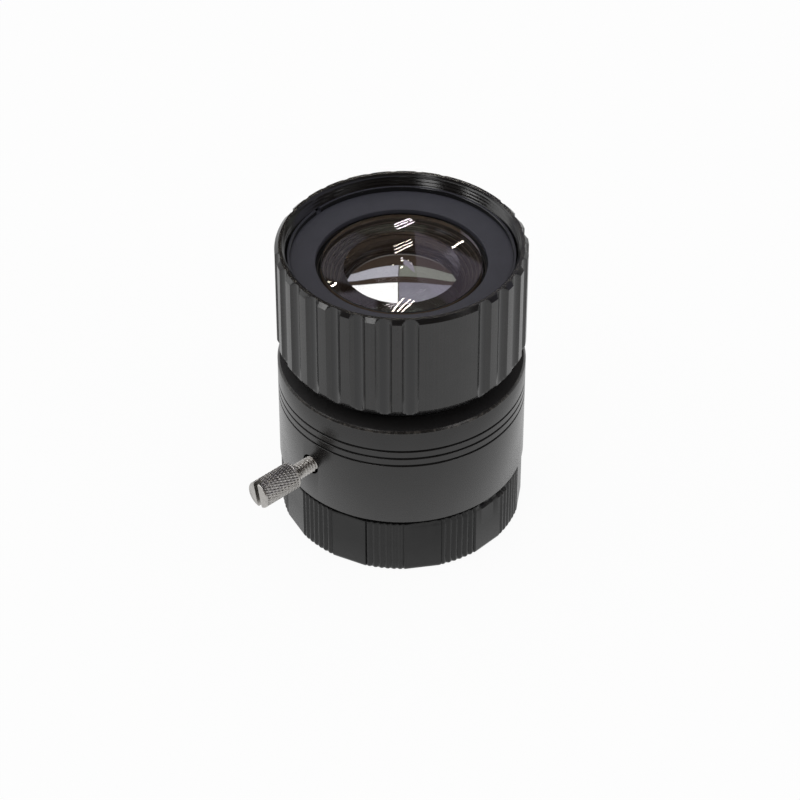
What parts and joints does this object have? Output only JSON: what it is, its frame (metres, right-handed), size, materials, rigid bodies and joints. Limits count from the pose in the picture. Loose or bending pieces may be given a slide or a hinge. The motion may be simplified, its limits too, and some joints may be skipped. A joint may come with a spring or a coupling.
{
  "type": "cs-mount lens",
  "caption": "Compact black fixed-focus-length camera lens with scalloped focusing ring, index lines, knurled focus lock screw and ribbed rear dust cap.",
  "frame": {"origin": "middle of the rear dust cap's flat base, on the optical axis", "axes": "+Z along the optical axis towards the front glass; the focus lock screw points along -Y"},
  "size_m": [0.03, 0.0384, 0.0387],
  "materials": {
    "black_anodised": "black satin anodised aluminium",
    "grip_anodised": "black anodised aluminium grip",
    "cap_plastic": "black moulded plastic",
    "bezel_slate": "matt slate coating",
    "inner_black": "dull black anodised",
    "steel": "plated steel",
    "brass": "turned brass",
    "nylon": "nylon",
    "coated_glass": "polished, multi-coated",
    "clear_glass": "polished"
  },
  "bodies": {
    "barrel": {"main_barrel": "black_anodised", "mount_ring": "black_anodised", "guide_pin_1": "steel", "guide_pin_2": "steel"},
    "dust_cap": {"rear_cap": "cap_plastic"},
    "focus_cell": {"lens_cell": "inner_black", "cell_nut": "brass", "front_element": "coated_glass", "front_retainer": "inner_black", "second_retainer": "inner_black", "second_element": "clear_glass", "front_spacer": "inner_black", "aperture_stop": "inner_black", "third_element": "clear_glass", "rear_spacer": "inner_black", "fourth_element": "clear_glass", "fifth_element": "clear_glass", "rear_retainer": "inner_black"},
    "focus_grip": {"focus_ring": "grip_anodised", "focus_barrel": "inner_black", "front_bezel": "bezel_slate"},
    "lock_pad_body": {"lock_pad": "nylon"},
    "lock_screw_body": {"lock_screw": "steel"}
  },
  "joints": [
    {"name": "cap_off", "type": "slide", "parent": "barrel", "child": "dust_cap", "axis": [0, 0, -1], "range_m": [0, 0.008]},
    {"name": "focus_travel", "type": "slide", "parent": "barrel", "child": "focus_cell", "axis": [0, 0, 1], "range_m": [-0.0015, 0.0005]},
    {"name": "focus_turn", "type": "hinge", "parent": "focus_cell", "child": "focus_grip", "pos_m": [0, 0, 0.0312], "axis": [0, 0, 1], "range_deg": [-180, 60]},
    {"name": "lock_travel", "type": "slide", "parent": "barrel", "child": "lock_pad_body", "axis": [0, -1, 0], "range_m": [0, 0.0004]},
    {"name": "lock_turn", "type": "hinge", "parent": "lock_pad_body", "child": "lock_screw_body", "pos_m": [0, -0.0135, 0.0132], "axis": [0, -1, 0], "range_deg": [0, 360]}
  ],
  "couplings": [
    {"joint": "focus_turn", "follows": "focus_travel", "rad_per_m": 2094},
    {"joint": "lock_turn", "follows": "lock_travel", "rad_per_m": 15700}
  ]
}
